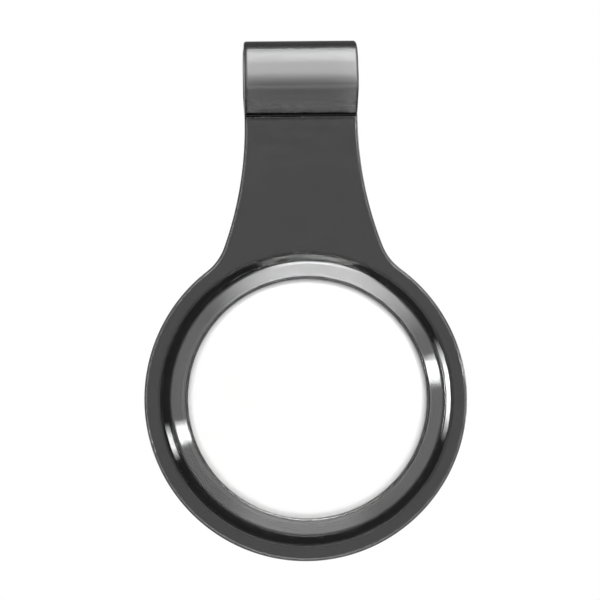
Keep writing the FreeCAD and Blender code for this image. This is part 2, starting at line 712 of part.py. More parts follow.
def make_face_shell():
    """White domed shell: a shallow crown that runs on into the round rim, at an even wall."""
    body = tag_body("tag_face_shell")
    profile = Profile(body, "face_section", "YZ_Plane")
    rim_up, rim, wall = measure(RIM_CENTRE), measure(RIM_RADIUS), measure("Sizes.face_wall")
    apex, seam, crown = measure(HALF_TAG), measure("Sizes.seam_setback"), measure(CROWN_RADIUS)
    centre, rim_centre = (crown - apex, 0), (0, rim_up)
    meeting = angle_to(centre, rim_centre)
    inner_rim = rim - wall
    seam_outer, seam_inner = (math.sqrt(radius ** 2 - seam ** 2) for radius in (rim, inner_rim))
    outer_crown = profile.arc(centre, crown, HALF_TURN, meeting)
    outer_rim = profile.arc(rim_centre, rim, meeting, math.degrees(math.atan2(seam_outer, seam)))
    seam_line = profile.line((seam, rim_up + seam_outer), (seam, rim_up + seam_inner))
    under_rim = profile.arc(rim_centre, inner_rim, math.degrees(math.atan2(seam_inner, seam)), meeting)
    under_crown = profile.arc(centre, crown - wall, meeting, HALF_TURN)
    axis_line = profile.line((wall - apex, 0), (-apex, 0))
    chain = [outer_crown, outer_rim, seam_line, under_rim, under_crown, axis_line]
    profile.close(chain, smooth=(0, 3))
    profile.on_axis(outer_crown[0], profile.CENTRE)
    profile.rule("Coincident", under_crown[0], profile.CENTRE, outer_crown[0], profile.CENTRE)
    profile.above_origin(outer_rim[0], profile.CENTRE)
    profile.up(RIM_CENTRE, outer_rim[0], profile.CENTRE)
    profile.sized(RIM_RADIUS, "Radius", outer_rim[0])
    profile.rule("Coincident", under_rim[0], profile.CENTRE, outer_rim[0], profile.CENTRE)
    profile.sized(f"{RIM_RADIUS} - Sizes.face_wall", "Radius", under_rim[0])
    profile.rule("Vertical", seam_line[0])
    profile.across("Sizes.seam_setback", seam_line[0], profile.START)
    profile.across(FACE_APEX, axis_line[0], profile.END)
    profile.on_axis(axis_line[0], profile.END)
    profile.on_axis(axis_line[0], profile.START)
    revolve(body, "face_shell", profile)
    return body


def make_rear_frame():
    """Rear frame: the back half of the rim, the ledge for the cover, the cell's well and three lugs."""
    body = tag_body("tag_rear_frame")
    profile = Profile(body, "frame_section", "YZ_Plane")
    rim_up, rim, seam = measure(RIM_CENTRE), measure(RIM_RADIUS), measure("Sizes.seam_setback")
    seam_up = math.sqrt(rim ** 2 - seam ** 2)
    pocket, well, ledge = measure(POCKET_RADIUS), measure(WELL_RADIUS), measure(LEDGE)
    floor_front, floor_back = measure(FLOOR_FRONT), measure(FLOOR_BACK)
    rim_arc = profile.arc((0, rim_up), rim, math.degrees(math.atan2(seam_up, seam)), 0)
    places = [
        (rim, rim_up), (rim, pocket), (ledge, pocket), (ledge, well), (floor_back, well), (floor_back, 0),
        (floor_front, 0), (floor_front, rim_up), (seam, rim_up), (seam, rim_up + seam_up),
    ]
    lines = [profile.line(start, end) for start, end in zip(places, places[1:])]
    profile.close([rim_arc, *lines])
    profile.above_origin(rim_arc[0], profile.CENTRE)
    profile.up(RIM_CENTRE, rim_arc[0], profile.CENTRE)
    profile.sized(RIM_RADIUS, "Radius", rim_arc[0])
    bound = [
        (RIM_RADIUS, POCKET_RADIUS), (LEDGE, POCKET_RADIUS), (LEDGE, WELL_RADIUS), (FLOOR_BACK, WELL_RADIUS),
        (FLOOR_BACK, None), (FLOOR_FRONT, None), (FLOOR_FRONT, RIM_CENTRE),
        ("Sizes.seam_setback", RIM_CENTRE),
    ]
    for (line, _, last), (across, up) in zip(lines, bound):
        profile.across(across, line, last)
        if up:
            profile.up(up, line, last)
        else:
            profile.on_axis(line, last)
    profile.up(RIM_CENTRE, lines[0][0], profile.START)
    profile.rule("Vertical", lines[-1][0])
    revolve(body, "frame_ring", profile)
    lug = Profile(body, "lug_section", "YZ_Plane")
    lug_inner = f"({SKIRT_OUTER} + Sizes.cover_clearance)"
    lug.polygon([(LUG_FRONT, lug_inner), (LUG_BACK, lug_inner), (LUG_BACK, POCKET_RADIUS),
                 (LUG_FRONT, POCKET_RADIUS)])
    first = revolve(body, "lug", lug, "Sizes.lug_angle")
    repeat_round(body, "lugs", first, "Sizes.lug_count")
    return body


def make_battery_cover():
    """Thin domed cover with a skirt that carries three bayonet tabs."""
    body = tag_body("tag_battery_cover")
    profile = Profile(body, "cover_section", "YZ_Plane")
    seat = f"({LEDGE} + Sizes.cover_seat_gap)"
    apex, under, edge = measure(COVER_APEX), measure(f"{COVER_APEX} - Sizes.cover_thickness"), measure(seat)
    radius, inner, outer = measure(COVER_RADIUS), measure(SKIRT_INNER), measure(SKIRT_OUTER)
    end, sag = measure(TAB_FRONT), under - edge
    under_dome = (radius ** 2 + sag ** 2) / (2 * sag)
    dome = under_dome + apex - under
    centre = (apex - dome, 0)

    def along(ball, up):
        return centre[0] + math.sqrt(ball ** 2 - up ** 2)

    def turn(ball, up):
        return math.degrees(math.asin(up / ball))

    chain = [
        profile.line((under, 0), (apex, 0)),
        profile.arc(centre, dome, 0, turn(dome, radius)),
        profile.line((along(dome, radius), radius), (edge, radius)),
        profile.arc(centre, under_dome, turn(under_dome, radius), turn(under_dome, outer)),
        profile.line((along(under_dome, outer), outer), (end, outer)),
        profile.line((end, outer), (end, inner)),
        profile.line((end, inner), (along(under_dome, inner), inner)),
        profile.arc(centre, under_dome, turn(under_dome, inner), 0),
    ]
    profile.close(chain)
    axis_line, top, rim_line, outer_under, skirt_out, skirt_end, skirt_in, inner_under = (
        piece for piece, _, _ in chain
    )
    profile.across(f"{COVER_APEX} - Sizes.cover_thickness", axis_line, profile.START)
    profile.across(COVER_APEX, axis_line, profile.END)
    for point in (profile.START, profile.END):
        profile.on_axis(axis_line, point)
    profile.on_axis(top, profile.CENTRE)
    for arc in (outer_under, inner_under):
        profile.rule("Coincident", arc, profile.CENTRE, top, profile.CENTRE)
    profile.rule("Equal", outer_under, inner_under)
    for line, height in ((rim_line, COVER_RADIUS), (skirt_out, SKIRT_OUTER), (skirt_in, SKIRT_INNER)):
        profile.rule("Horizontal", line)
        profile.up(height, line, profile.START)
    profile.across(seat, rim_line, profile.END)
    profile.rule("Vertical", skirt_end)
    profile.across(TAB_FRONT, skirt_end, profile.START)
    revolve(body, "cover", profile)
    tab = Profile(body, "tab_section", "YZ_Plane")
    tab.polygon([(TAB_FRONT, SKIRT_INNER), (TAB_BACK, SKIRT_INNER), (TAB_BACK, TAB_RADIUS),
                 (TAB_FRONT, TAB_RADIUS)])
    first = revolve(body, "tab", tab, "Sizes.tab_angle")
    repeat_round(body, "tabs", first, "Sizes.lug_count")
    return body


def make_turned(name, corners):
    """A plain turned piece of the tag from the corners of its section."""
    body = tag_body(name)
    profile = Profile(body, f"{name}_section", "YZ_Plane")
    profile.polygon(corners)
    return body, revolve(body, f"{name}_turned", profile)


def make_coin_cell():
    """Coin cell: a wide can with a rounded back edge and a smaller cap towards the face."""
    cap_radius = f"({CELL_RADIUS} - Sizes.cell_cap_inset)"
    can_front = f"({CELL_FRONT} + Sizes.cell_cap_height)"
    body, turned = make_turned("tag_coin_cell", [
        (CELL_FRONT, None), (CELL_FRONT, cap_radius), (can_front, cap_radius), (can_front, CELL_RADIUS),
        (CELL_BACK, CELL_RADIUS), (CELL_BACK, None),
    ])
    back, radius = measure(CELL_BACK), measure(CELL_RADIUS)
    touch = radius * TOUCH_SHARE
    rims = [
        f"Edge{order}" for order, edge in enumerate(turned.Shape.Edges, start=1)
        if isinstance(edge.Curve, Part.Circle) and abs(edge.Curve.Radius - radius) < touch
        and abs(edge.Curve.Center.y - back) < touch
    ]
    round_edges(body, "can_edge", turned, rims, "Sizes.cell_edge_radius")
    return body


def behind_face(radius, gap):
    """The level that clears the back of the face shell by a gap, for a piece of a radius."""
    ball = f"({CROWN_RADIUS} - Sizes.face_wall)"
    return f"({CROWN_RADIUS} - {HALF_TAG} - sqrt({ball} ^ 2 - {radius} ^ 2) + {gap})"


def make_circuit_board():
    """Ring-shaped board on the front of the frame's floor, round the sounder."""
    hole = f"({COIL_OUTER} + Sizes.board_hole_gap)"
    edge = f"({WELL_RADIUS} - Sizes.board_edge_gap)"
    corners = [(BOARD_FRONT, hole), (FLOOR_FRONT, hole), (FLOOR_FRONT, edge), (BOARD_FRONT, edge)]
    return make_turned("tag_circuit_board", corners)[0]


def make_magnet():
    """Sounder magnet, bonded to the frame's floor through the board's hole."""
    front = behind_face(MAGNET_RADIUS, "Sizes.magnet_gap")
    corners = [(front, None), (front, MAGNET_RADIUS), (FLOOR_FRONT, MAGNET_RADIUS), (FLOOR_FRONT, None)]
    return make_turned("tag_sounder_magnet", corners)[0]


def make_voice_coil():
    """Voice coil bonded to the back of the face shell, round the magnet."""
    front = behind_face(COIL_OUTER, "Sizes.coil_bond")
    back = f"({front} + Sizes.coil_height)"
    corners = [(front, COIL_INNER), (back, COIL_INNER), (back, COIL_OUTER), (front, COIL_OUTER)]
    return make_turned("tag_voice_coil", corners)[0]


def make_contacts():
    """Leaf contacts round the cell: a foot on the floor under the cell and a leg beside it."""
    body = tag_body("tag_battery_contacts")
    body.AllowCompound = True
    profile = Profile(body, "contact_section", "YZ_Plane")
    leg_inner = f"({CELL_RADIUS} + Sizes.contact_gap)"
    leg_outer = f"({leg_inner} + Sizes.contact_thickness)"
    foot_inner = f"({leg_outer} - Sizes.contact_foot)"
    foot_back = f"({FLOOR_BACK} + Sizes.contact_thickness)"
    leg_back = f"({FLOOR_BACK} + Sizes.contact_height)"
    profile.polygon([
        (FLOOR_BACK, foot_inner), (foot_back, foot_inner), (foot_back, leg_inner), (leg_back, leg_inner),
        (leg_back, leg_outer), (FLOOR_BACK, leg_outer),
    ])
    leaf = pad_both_ways(body, "contact_leaf", profile, "Sizes.contact_width")
    repeat_round(body, "contact_leaves", leaf, "Sizes.contact_count")
    return body


def check(bodies):
    """Stop on anything that failed to build."""
    for item in doc.Objects:
        if any(word in item.State for word in ("Invalid", "Error")):
            raise RuntimeError(f"{item.Name} failed: {item.State}")
    for body in bodies:
        if body.Shape.isNull() or not body.Shape.isValid():
            raise RuntimeError(f"{body.Label} has no valid shape")


def main():
    bodies = [
        make_holder_body(),
        make_front_ring(),
        make_face_shell(),
        make_rear_frame(),
        make_battery_cover(),
        make_coin_cell(),
        make_circuit_board(),
        make_magnet(),
        make_voice_coil(),
        make_contacts(),
    ]
    doc.recompute()
    check(bodies)
    os.makedirs("parts", exist_ok=True)
    for body in bodies:
        body.Shape.exportStep(f"parts/{body.Label}.step")


main()
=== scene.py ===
import json
import math
from typing import NamedTuple

import bmesh
import bpy
from mathutils import Matrix, Vector
from mathutils.geometry import tessellate_polygon


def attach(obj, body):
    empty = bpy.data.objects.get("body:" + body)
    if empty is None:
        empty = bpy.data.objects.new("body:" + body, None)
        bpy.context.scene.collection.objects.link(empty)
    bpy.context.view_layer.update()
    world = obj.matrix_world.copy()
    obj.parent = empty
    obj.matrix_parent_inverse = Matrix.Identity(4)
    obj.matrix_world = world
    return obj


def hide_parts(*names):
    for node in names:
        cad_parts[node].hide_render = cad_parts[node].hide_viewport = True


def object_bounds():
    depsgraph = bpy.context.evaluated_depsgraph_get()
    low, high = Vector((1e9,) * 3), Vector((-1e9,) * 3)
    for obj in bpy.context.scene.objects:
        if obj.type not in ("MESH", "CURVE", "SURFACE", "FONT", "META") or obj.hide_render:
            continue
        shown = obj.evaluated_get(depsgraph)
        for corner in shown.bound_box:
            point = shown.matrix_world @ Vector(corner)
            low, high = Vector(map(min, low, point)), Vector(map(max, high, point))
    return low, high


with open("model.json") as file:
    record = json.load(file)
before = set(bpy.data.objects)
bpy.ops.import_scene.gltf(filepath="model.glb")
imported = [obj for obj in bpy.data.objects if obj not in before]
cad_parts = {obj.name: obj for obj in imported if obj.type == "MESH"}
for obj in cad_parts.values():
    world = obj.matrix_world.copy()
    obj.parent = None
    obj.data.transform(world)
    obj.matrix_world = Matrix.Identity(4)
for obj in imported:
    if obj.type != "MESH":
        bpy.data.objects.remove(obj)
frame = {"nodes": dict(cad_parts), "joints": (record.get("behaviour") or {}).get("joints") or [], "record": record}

# Looks of the tracker tag holder. The smoke-grey moulding is one closed skin, so that light passes through
# it as it does through one piece of soft plastic; it stands for the two CAD nodes of the moulding. The tag's
# pieces are the CAD nodes themselves, with finishes of their own. Lengths are in metres, in the CAD frame.

CAD_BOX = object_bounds()
JOINTS = {joint["name"]: joint for joint in frame["joints"]}
MOUNTS = {mount["name"]: mount for mount in frame["record"]["mounts"]}
MM_PER_METRE = 1000

# Tag and socket
TAG_RIM_CENTRE = 0.01305
TAG_RIM_RADIUS = 0.0029
TAG_CLEARANCE = 0.00012
SOCKET_WALL = 0.00115
SOCKET_OFFSET = 0.0008
LIP_GRIP = 0.0013
FOOT_RADIUS = 0.0002
# Raised front ring, from the notch at its foot over its bead and shoulder to its lip
NOTCH_WIDTH = 0.00022
NOTCH_DEPTH = 0.00035
NOTCH_ROUND = 0.00004
RING_FOOT_WALL = 0.00198
RING_WALL_HEIGHT = 0.0012
RING_WALL_DRAFT = 0.00025
BEAD_WIDTH = 0.00063
BEAD_HEIGHT = 0.00073
BEAD_RADIUS = 0.0003
BEAD_CREASE_RADIUS = 0.00008
SHOULDER_WALL = 0.0009
SHOULDER_DROP = 0.00085
SHOULDER_RADIUS = 0.0012
LIP_HEIGHT = 0.0011
LIP_RADIUS = 0.0003
LIP_INNER_RADIUS = 0.00015
# Flange and neck
FLANGE_RADIUS = 0.02
FLANGE_THICKNESS = 0.0024
NECK_WIDTH = 0.0141
NECK_STRAIGHT = 0.0011
NECK_FLARE = 0.0036
NECK_ROOT_RADIUS = 0.0066
# Hanging loop
LOOP_BORE_RADIUS = MOUNTS["key_loop"]["dims"]["r_mm"] / MM_PER_METRE
LOOP_WALL = 0.001
LOOP_TAPER = 0.00185
LOOP_FLOOR_RADIUS = 0.00025
BELLY_SWELL = 0.00038
BELLY_DROP = 0.0021
BELLY_RADIUS = 0.0014
CREASE_WALL = 0.00035
GROOVE_DEPTH = 0.00045
GROOVE_RISE = 0.0002
GROOVE_FALL = 0.00028
GROOVE_ROUND = 0.00004
MOUTH_RADIUS = 0.00025
EDGE_RADIUS = 0.0004
# The belly's corner is cut off at these distances and eased, so that reflections run smoothly over it
BELLY_EASE_ABOVE = 0.001
BELLY_EASE_BELOW = 0.00034
BELLY_EASE_RADIUS = 0.006

# The loop's centre is the origin, and the ring hangs below it
RING_HEIGHT = JOINTS["cover_turn"]["pos_m"][2]
HALF_DEPTH = FLANGE_THICKNESS / 2
HALF_NECK = NECK_WIDTH / 2
LOOP_DEPTH = LOOP_BORE_RADIUS + LOOP_TAPER
FLARE_TOP = -LOOP_DEPTH - NECK_STRAIGHT
SOCKET_MIDDLE = (-SOCKET_OFFSET, TAG_RIM_CENTRE)
CAVITY_RADIUS = TAG_RIM_RADIUS + TAG_CLEARANCE
NOSE_RADIUS = SOCKET_WALL / 2
LOOP_RADIUS = LOOP_BORE_RADIUS + LOOP_WALL
BELLY = (-LOOP_RADIUS - BELLY_SWELL, -BELLY_DROP)
CREASE = (-HALF_DEPTH, -LOOP_DEPTH - CREASE_WALL)

# Fineness of the skin: steps round an arc, and digits to which corners that fall together agree
RING_STEPS = 288
SMALL_STEPS = 8
ROUND_STEPS = 24
TOP_STEPS = 40
FLARE_STEPS = 24
FLANGE_STEPS = 120
EDGE_STEPS = 6
MERGE_DIGITS = 8
QUARTER, HALF, WHOLE = math.pi / 2, math.pi, 2 * math.pi


class Skin:
    """A closed mesh gathered from grids and flat fills that share their borders, with exact normals."""

    def __init__(self):
        self.places, self.normals, self.faces, self.known = [], [], [], {}

    def corner(self, place, normal):
        """The number of the corner at a place, new or shared."""
        key = tuple(round(value, MERGE_DIGITS) for value in place)
        if key not in self.known:
            self.known[key] = len(self.places)
            self.places.append(Vector(place))
            self.normals.append(Vector(normal).normalized())
        return self.known[key]

    def face(self, corners):
        """A face, without corners that fall together."""
        kept = [corner for order, corner in enumerate(corners) if corner != corners[order - 1]]
        if len(kept) > 2:
            self.faces.append(kept)

    def grid(self, rows, closed=False):
        """Quads between rows of (place, normal)."""
        numbers = [[self.corner(*item) for item in row] for row in rows]
        if closed:
            numbers.append(numbers[0])
        for one, other in zip(numbers, numbers[1:]):
            for order in range(len(one) - 1):
                self.face([one[order], one[order + 1], other[order + 1], other[order]])

    def fill(self, border, hole, normal):
        """A flat face inside a border and outside a hole, each a list of places."""
        numbers = [self.corner(place, normal) for place in (*border, *hole)]
        loops = [[Vector(place) for place in border], [Vector(place) for place in hole]]
        for triangle in tessellate_polygon(loops):
            self.face([numbers[order] for order in triangle])

    def build(self, name):
        """The object, with its faces turned outwards."""
        mesh = bpy.data.meshes.new(name)
        mesh.from_pydata(self.places, [], self.faces)
        shell = bmesh.new()
        shell.from_mesh(mesh)
        bmesh.ops.recalc_face_normals(shell, faces=shell.faces)
        shell.to_mesh(mesh)
        shell.free()
        mesh.shade_smooth()
        mesh.normals_split_custom_set_from_vertices(self.normals)
        made = bpy.data.objects.new(name, mesh)
        bpy.context.scene.collection.objects.link(made)
        return made


def bearing(centre, place):
    """The direction of a place seen from a centre."""
    return math.atan2(place[1] - centre[1], place[0] - centre[0])


def arc(centre, radius, begin, finish, outward, steps):
    """Points of an arc as (place, normal) pairs in its plane; outward is 1 on a bulge and -1 in a hollow."""
    angles = [begin + (finish - begin) * order / steps for order in range(steps + 1)]
    return [
        (
            (centre[0] + radius * math.cos(angle), centre[1] + radius * math.sin(angle)),
            (outward * math.cos(angle), outward * math.sin(angle)),
        )
        for angle in angles
    ]


def rounded(before, corner, after, radius, outward, steps):
    """The arc that rounds a corner between two straight sides."""
    corner = Vector(corner)
    back, ahead = (Vector(before) - corner).normalized(), (Vector(after) - corner).normalized()
    half_angle = back.angle(ahead) / 2
    centre = corner + (back + ahead).normalized() * radius / math.sin(half_angle)
    begin, finish = (bearing(centre, corner + side * radius / math.tan(half_angle)) for side in (back, ahead))
    return arc(centre, radius, begin, begin + math.remainder(finish - begin, WHOLE), outward, steps)


def mirror(chain):
    """A chain mirrored left to right and run backwards."""
    return [((-place[0], place[1]), (-normal[0], normal[1])) for place, normal in reversed(chain)]


def soft_chain(begin, corners, finish):
    """Straight sides from begin over the corners to finish, with each corner rounded.

    corners holds (place, radius, outward, steps).
    """
    places = [begin, *(corner[0] for corner in corners), finish]
    points = []
    for order, (_, radius, outward, steps) in enumerate(corners):
        points += rounded(*places[order:order + 3], radius, outward, steps)
    return points


def front_lip():
    """The front of the ring from the flange's face, over the notch, the bead and the shoulder, round the lip.

    Returns the points and the centre of the small round inside the lip.
    """
    lip_ring = TAG_RIM_CENTRE + TAG_RIM_RADIUS - LIP_GRIP
    seat = SOCKET_OFFSET + math.sqrt(CAVITY_RADIUS ** 2 - (lip_ring - TAG_RIM_CENTRE) ** 2)
    lip = (-seat - LIP_HEIGHT, lip_ring)
    cavity_ring = TAG_RIM_CENTRE + CAVITY_RADIUS
    foot_ring = cavity_ring + RING_FOOT_WALL
    notch_floor = (NOTCH_DEPTH - HALF_DEPTH, foot_ring + RING_WALL_DRAFT * NOTCH_DEPTH / RING_WALL_HEIGHT)
    bead = (-HALF_DEPTH - RING_WALL_HEIGHT, foot_ring - RING_WALL_DRAFT)
    bead_crease = (bead[0] - BEAD_HEIGHT, bead[1] - BEAD_WIDTH)
    shoulder = (lip[0] + SHOULDER_DROP, cavity_ring + SHOULDER_WALL)
    outside = soft_chain((-HALF_DEPTH, FLANGE_RADIUS), [
        ((-HALF_DEPTH, foot_ring + NOTCH_WIDTH), NOTCH_ROUND, 1, SMALL_STEPS),
        (notch_floor, NOTCH_ROUND, -1, SMALL_STEPS),
        (bead, BEAD_RADIUS, 1, SMALL_STEPS),
        (bead_crease, BEAD_CREASE_RADIUS, -1, SMALL_STEPS),
        (shoulder, SHOULDER_RADIUS, 1, ROUND_STEPS),
        (lip, LIP_RADIUS, 1, ROUND_STEPS),
    ], (-seat, lip_ring))
    reach, up = CAVITY_RADIUS + LIP_INNER_RADIUS, lip_ring + LIP_INNER_RADIUS - TAG_RIM_CENTRE
    inside = (SOCKET_MIDDLE[0] - math.sqrt(reach ** 2 - up ** 2), SOCKET_MIDDLE[1] + up)
    end = bearing(inside, SOCKET_MIDDLE)
    return outside + arc(inside, LIP_INNER_RADIUS, -QUARTER, end, 1, SMALL_STEPS), inside


def back_lip():
    """The back of the ring from the flange's face round the rear lip's nose, with the nose's centre."""
    reach, up = CAVITY_RADIUS + NOSE_RADIUS, TAG_RIM_RADIUS - LIP_GRIP + NOSE_RADIUS
    nose = (SOCKET_MIDDLE[0] + math.sqrt(reach ** 2 - up ** 2), SOCKET_MIDDLE[1] + up)
    outer = CAVITY_RADIUS + SOCKET_WALL
    foot_along = HALF_DEPTH + FOOT_RADIUS
    foot_up = math.sqrt((outer + FOOT_RADIUS) ** 2 - (foot_along - SOCKET_MIDDLE[0]) ** 2)
    foot = (foot_along, SOCKET_MIDDLE[1] + foot_up)
    nose_turn = bearing(SOCKET_MIDDLE, nose)
    return [
        *arc(foot, FOOT_RADIUS, -HALF, bearing(foot, SOCKET_MIDDLE), -1, SMALL_STEPS),
        *arc(SOCKET_MIDDLE, outer, bearing(SOCKET_MIDDLE, foot), nose_turn, 1, ROUND_STEPS),
        *arc(nose, NOSE_RADIUS, nose_turn, nose_turn - HALF, 1, ROUND_STEPS),
    ], nose


def ring_section():
    """The socket's C-section from the front of the flange, round both lips, to its back."""
    (front, inside), (back, nose) = front_lip(), back_lip()
    turns = bearing(SOCKET_MIDDLE, inside), bearing(SOCKET_MIDDLE, nose)
    return front + arc(SOCKET_MIDDLE, CAVITY_RADIUS, *turns, -1, ROUND_STEPS) + back[::-1]


def turned(section):
    """Rows of a section turned about the ring's axis."""
    rows = []
    for order in range(RING_STEPS):
        angle = WHOLE * order / RING_STEPS
        across, up = math.cos(angle), math.sin(angle)
        rows.append([
            ((radius * across, along, RING_HEIGHT + radius * up), (out * across, ahead, out * up))
            for (along, radius), (ahead, out) in section
        ])
    return rows


def half_outline():
    """The right half of the front's outline, from the neck's straight edge to the lowest point."""
    ring = (0, RING_HEIGHT)
    corner_across = HALF_NECK + NECK_FLARE
    corner_up = RING_HEIGHT + math.sqrt(FLANGE_RADIUS ** 2 - corner_across ** 2)
    drop = FLARE_TOP - corner_up
    flare = (NECK_FLARE ** 2 + drop ** 2) / (2 * NECK_FLARE)
    flare_centre = (HALF_NECK + flare, FLARE_TOP)
    reach, away = FLANGE_RADIUS + NECK_ROOT_RADIUS, flare - NECK_ROOT_RADIUS
    span = math.dist(ring, flare_centre)
    opening = math.acos((reach ** 2 + span ** 2 - away ** 2) / (2 * reach * span))
    root_turn = bearing(ring, flare_centre) + opening
    root = (reach * math.cos(root_turn), RING_HEIGHT + reach * math.sin(root_turn))
    meeting = bearing(flare_centre, root) + WHOLE
    return [
        *arc(flare_centre, flare, HALF, meeting, -1, FLARE_STEPS),
        *arc(root, NECK_ROOT_RADIUS, meeting, root_turn + HALF, -1, FLARE_STEPS),
        *arc(ring, FLANGE_RADIUS, root_turn, -QUARTER, 1, FLANGE_STEPS),
    ]


def quarter_round():
    """Steps of a rounded edge as (share across it, share into it) from the first face to the second."""
    angles = [QUARTER * order / EDGE_STEPS for order in range(EDGE_STEPS + 1)]
    return [(math.sin(angle), math.cos(angle)) for angle in angles]


def rim_rows(outline):
    """Rows of the flange's and neck's rounded rim, one for each point of the outline."""
    rows = []
    for (across, up), (out_x, out_z) in outline:
        row = []
        for side, steps in ((-1, quarter_round()), (1, quarter_round()[::-1])):
            for sine, cosine in steps:
                inset = EDGE_RADIUS * (1 - sine)
                place = (
                    across - inset * out_x,
                    side * (HALF_DEPTH - EDGE_RADIUS * (1 - cosine)),
                    up - inset * out_z,
                )
                row.append((place, (out_x * sine, side * cosine, out_z * sine)))
        rows.append(row)
    return rows


def sunk_points(chain, depth):
    """A chain of points moved into the plastic along their normals."""
    return [((place[0] - depth * normal[0], place[1] - depth * normal[1]), normal) for place, normal in chain]


def groove_points(depth):
    """The sharp groove along the crease, moved with the two sides that meet there as they sink by a depth."""
    wall = (Vector(BELLY) - Vector(CREASE)).normalized()
    moved = Vector(CREASE) + depth * Vector((1, (1 - wall.y) / -wall.x))
    return soft_chain(moved + Vector((0, FLARE_TOP - CREASE[1])), [
        (moved + Vector((0, -GROOVE_FALL)), GROOVE_ROUND, 1, SMALL_STEPS),
        (moved + Vector((GROOVE_DEPTH, 0)), GROOVE_ROUND, -1, SMALL_STEPS),
        (moved + wall * (GROOVE_RISE / wall.y), GROOVE_ROUND, 1, SMALL_STEPS),
    ], moved + wall)


def strap_half(depth):
    """The front of the strap from the neck up to the top of the loop, as (Y, Z), sunk by a depth."""
    turn = math.acos(LOOP_RADIUS / math.hypot(*BELLY)) - math.atan2(BELLY_DROP, LOOP_RADIUS + BELLY_SWELL)
    top = arc((0, 0), LOOP_RADIUS, HALF - turn, QUARTER, 1, TOP_STEPS)
    corner = Vector(BELLY)
    below = corner + BELLY_EASE_BELOW * (Vector(CREASE) - corner).normalized()
    above = corner + BELLY_EASE_ABOVE * (Vector(top[0][0]) - corner).normalized()
    belly = soft_chain(CREASE, [
        (below, BELLY_RADIUS, 1, ROUND_STEPS),
        (above, BELLY_EASE_RADIUS, 1, ROUND_STEPS),
    ], top[0][0])
    neck = [((-HALF_DEPTH, FLARE_TOP), (-1, 0))]
    return sunk_points(neck, depth) + groove_points(depth) + sunk_points(belly + top, depth)


def strap_rows():
    """Rows of the strap's outside along X, with its edges rounded at both ends."""
    left, right = [], []
    for sine, cosine in quarter_round():
        half = strap_half(EDGE_RADIUS * (1 - cosine))
        section = half + mirror(half)[1:]
        for side, rows in ((-1, left), (1, right)):
            across = side * (HALF_NECK - EDGE_RADIUS * (1 - sine))
            rows.append([
                ((across, along, up), (side * sine, ahead * cosine, out * cosine))
                for (along, up), (ahead, out) in section
            ])
    return [list(row) for row in zip(*left[::-1], *right)]


def loop_lean():
    """How far the tunnel's straight walls lean out from its floor."""
    return math.asin((LOOP_BORE_RADIUS - LOOP_FLOOR_RADIUS) / (LOOP_DEPTH - LOOP_FLOOR_RADIUS))


def tunnel_section():
    """The tunnel's teardrop as (Y, Z), a closed chain whose normals look into the tunnel."""
    lean = loop_lean()
    floor = (0, LOOP_FLOOR_RADIUS - LOOP_DEPTH)
    top = arc((0, 0), LOOP_BORE_RADIUS, -lean, HALF + lean, -1, TOP_STEPS)
    return top + arc(floor, LOOP_FLOOR_RADIUS, HALF + lean, WHOLE - lean, -1, SMALL_STEPS)


def end_round(section, radius, side):
    """Rows of the rounded edge where a section along X ends, from the section's face to the end face."""
    rows = []
    for (along, up), (ahead, out) in section:
        row = []
        for sine, cosine in quarter_round():
            sunk = radius * (1 - cosine)
            place = (side * (HALF_NECK - radius * (1 - sine)), along - sunk * ahead, up - sunk * out)
            row.append((place, (side * sine, ahead * cosine, out * cosine)))
        rows.append(row)
    return rows


def across_rows(section, radius):
    """Rows of a section along X, with rounded edges at both ends."""
    left, right = end_round(section, radius, -1), end_round(section, radius, 1)
    return [one[::-1] + other for one, other in zip(left, right)]


def moulding():
    """The whole soft moulding as one closed skin."""
    skin = Skin()
    ring = turned(ring_section())
    half = half_outline()
    rim = rim_rows(half + mirror(half)[1:])
    strap = strap_rows()
    tunnel = across_rows(tunnel_section(), MOUTH_RADIUS)
    skin.grid(ring, closed=True)
    skin.grid(rim)
    skin.grid(strap)
    skin.grid(tunnel, closed=True)
    for side, end in ((-1, 0), (1, -1)):
        border = [row[end][0] for row in rim]
        foot = [row[end][0] for row in ring]
        skin.fill(border, foot, (0, side, 0))
        mouth = [row[end][0] for row in tunnel]
        skin.fill([row[end][0] for row in strap], mouth, (side, 0, 0))
    return skin.build("moulding")


def add_node(tree, kind, settings=(), **inputs):
    """A new node of a tree, with its settings.

    An input goes by its name, or by its number as in _0, and takes a value or a socket to link.
    """
    node = tree.nodes.new(kind)
    for key, value in dict(settings).items():
        setattr(node, key, value)
    for key, value in inputs.items():
        socket = node.inputs[int(key[1:])] if key[0] == "_" else node.inputs[key.replace("_", " ")]
        if isinstance(value, bpy.types.NodeSocket):
            tree.links.new(value, socket)
        else:
            socket.default_value = value
    return node


def grey(level):
    """An opaque grey."""
    return (level, level, level, 1)


def set_greys(scale, stops):
    """Put greys on a colour scale; stops holds (share, level) from its first to its last."""
    for share, level in stops[1:-1]:
        scale.elements.new(share).color = grey(level)
    for end in (0, -1):
        share, level = stops[end]
        scale.elements[end].position = share
        scale.elements[end].color = grey(level)


# Shares of a noise's range between which it goes from one colour to the other
NOISE_SHARES = (0.3, 0.7)
# At the tag's axis the CAD meshes have fans of faces this wide, with a bad shading normal at the tip
FAN_RADIUS = 0.00159


